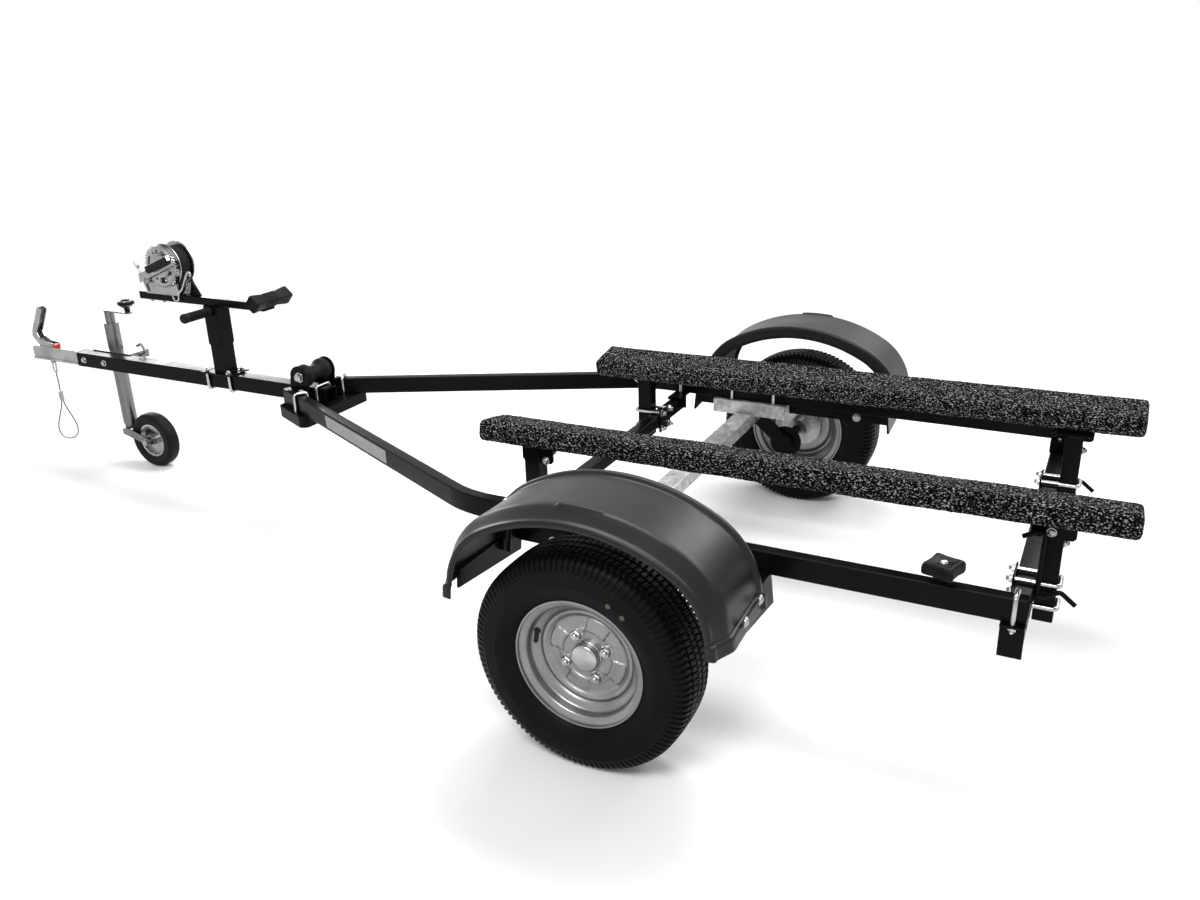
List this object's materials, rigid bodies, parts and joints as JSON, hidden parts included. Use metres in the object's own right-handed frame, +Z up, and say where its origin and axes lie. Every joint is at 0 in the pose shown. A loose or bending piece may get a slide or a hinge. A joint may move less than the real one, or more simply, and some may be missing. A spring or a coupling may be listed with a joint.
{
  "type": "boat trailer",
  "caption": "Single-axle trailer for a small watercraft, with carpeted bunks, plastic fenders, a hand winch on a post and a swivelling jockey wheel.",
  "frame": {"origin": "middle of the footprint on the ground, on the trailer's centre plane", "axes": "+X forward to the coupling, +Y to the left, +Z up"},
  "size_m": [3.643, 1.69, 0.85],
  "materials": {
    "tyre_rubber": "worn black rubber",
    "jockey_rubber": "solid black rubber",
    "rim_silver": "silver paint",
    "bunk_carpet": "black and grey looped carpet",
    "fender_plastic": "dark grey moulded plastic, satin",
    "galvanised": "hot-dip galvanised, spangled",
    "zinc": "bright zinc plate",
    "black_steel": "gloss black powder coat",
    "black_rubber": "matt black rubber",
    "black_plastic": "black moulded plastic",
    "black_webbing": "woven polyester",
    "wire_rope": "stranded wire"
  },
  "bodies": {
    "chassis": {"axle_beam": "galvanised", "axle_channels": "galvanised", "bow_block": "black_rubber", "bunk_brackets_left": "black_steel", "bunk_brackets_right": "black_steel", "bunk_left": "bunk_carpet", "bunk_right": "bunk_carpet", "coupling_body": "zinc", "coupling_bolts": "zinc", "coupling_lever": "zinc", "drawbar": "black_steel", "fender_left": "fender_plastic", "fender_right": "fender_plastic", "fender_stays": "black_steel", "front_crossmember": "black_steel", "front_crossmember_brackets": "black_steel", "front_post_clamps": "black_steel", "front_posts": "black_steel", "hook_rods": "black_steel", "jockey_clamp": "galvanised", "junction_plate": "black_steel", "post_grip": "black_plastic", "rail_left": "black_steel", "rail_right": "black_steel", "rear_crossmember": "black_steel", "rear_crossmember_brackets": "black_steel", "rear_post_clamps": "black_steel", "rear_posts": "black_steel", "roller_cradle": "black_steel", "safety_wire_fittings": "zinc", "safety_wire_lead": "wire_rope", "safety_wire_loop": "wire_rope", "star_knobs": "black_plastic", "swing_arms": "black_steel", "u_bolts": "zinc", "winch_arm": "black_steel", "winch_frame": "zinc", "winch_post": "black_steel", "winch_post_sleeve": "black_steel"},
    "wheel_left": {"tyre_left": "tyre_rubber", "rim_left": "rim_silver", "hub_left": "zinc"},
    "wheel_right": {"tyre_right": "tyre_rubber", "rim_right": "rim_silver", "hub_right": "zinc"},
    "jockey_tube": {"jockey_tube": "galvanised"},
    "jockey_leg": {"jockey_leg": "galvanised"},
    "jockey_fork": {"jockey_fork": "galvanised"},
    "jockey_wheel": {"jockey_tyre": "jockey_rubber", "jockey_rim": "black_plastic"},
    "keel_roller": {"keel_roller": "black_rubber"},
    "winch_drum": {"winch_drum": "zinc", "winch_strap": "black_webbing"},
    "winch_crank": {"winch_crank": "galvanised"}
  },
  "joints": [
    {"name": "wheel_left_spin", "type": "hinge", "parent": "chassis", "child": "wheel_left", "pos_m": [-0.8615, 0.741, 0.242], "axis": [0, 1, 0], "continuous": true},
    {"name": "wheel_right_spin", "type": "hinge", "parent": "chassis", "child": "wheel_right", "pos_m": [-0.8615, -0.741, 0.242], "axis": [0, 1, 0], "continuous": true},
    {"name": "jockey_raise", "type": "slide", "parent": "chassis", "child": "jockey_tube", "axis": [0, 0, 1], "range_m": [0, 0.15]},
    {"name": "jockey_extend", "type": "slide", "parent": "jockey_tube", "child": "jockey_leg", "axis": [0, 0, -1], "range_m": [0, 0.15]},
    {"name": "jockey_swivel", "type": "hinge", "parent": "jockey_leg", "child": "jockey_fork", "pos_m": [1.4805, -0.076, 0.136], "axis": [0, 0, 1], "continuous": true},
    {"name": "jockey_wheel_spin", "type": "hinge", "parent": "jockey_fork", "child": "jockey_wheel", "pos_m": [1.3615, -0.076, 0.1], "axis": [0, 1, 0], "continuous": true},
    {"name": "keel_roller_spin", "type": "hinge", "parent": "chassis", "child": "keel_roller", "pos_m": [0.4865, 0, 0.475], "axis": [0, 1, 0], "continuous": true},
    {"name": "winch_drum_spin", "type": "hinge", "parent": "chassis", "child": "winch_drum", "pos_m": [1.0265, 0, 0.78], "axis": [0, 1, 0], "continuous": true},
    {"name": "winch_crank_spin", "type": "hinge", "parent": "chassis", "child": "winch_crank", "pos_m": [1.1005, 0, 0.74025], "axis": [0, 1, 0], "continuous": true}
  ],
  "couplings": [
    {"joint": "winch_crank_spin", "follows": "winch_drum_spin", "ratio": -3.6667}
  ]
}
